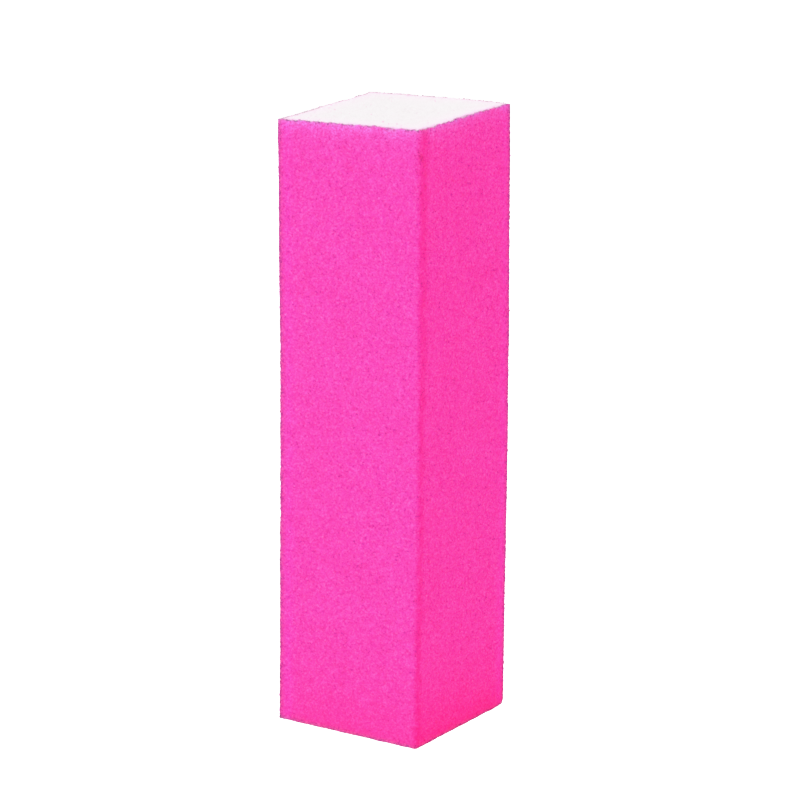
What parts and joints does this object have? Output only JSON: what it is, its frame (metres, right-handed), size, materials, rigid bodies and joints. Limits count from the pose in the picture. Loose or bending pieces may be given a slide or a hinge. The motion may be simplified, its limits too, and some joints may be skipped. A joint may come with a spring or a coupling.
{
  "type": "nail buffer block",
  "caption": "Square foam bar wrapped on its long sides in a pink grit-coated sheet, held in the hand to buff and smooth fingernails.",
  "frame": {"origin": "centre of the bottom end, on the surface it stands on", "axes": "+Z along the block from its bottom end to its top end, -Y out of the front side, +X out of the right side"},
  "size_m": [0.0254, 0.0254, 0.095],
  "materials": {
    "foam": "matte",
    "glue": "satin",
    "backing_cloth": "matte",
    "abrasive_coat": "matte"
  },
  "bodies": {
    "root": {"foam_core": "foam", "glue_film": "glue", "backing_cloth": "backing_cloth", "abrasive_coat": "abrasive_coat"}
  },
  "joints": []
}
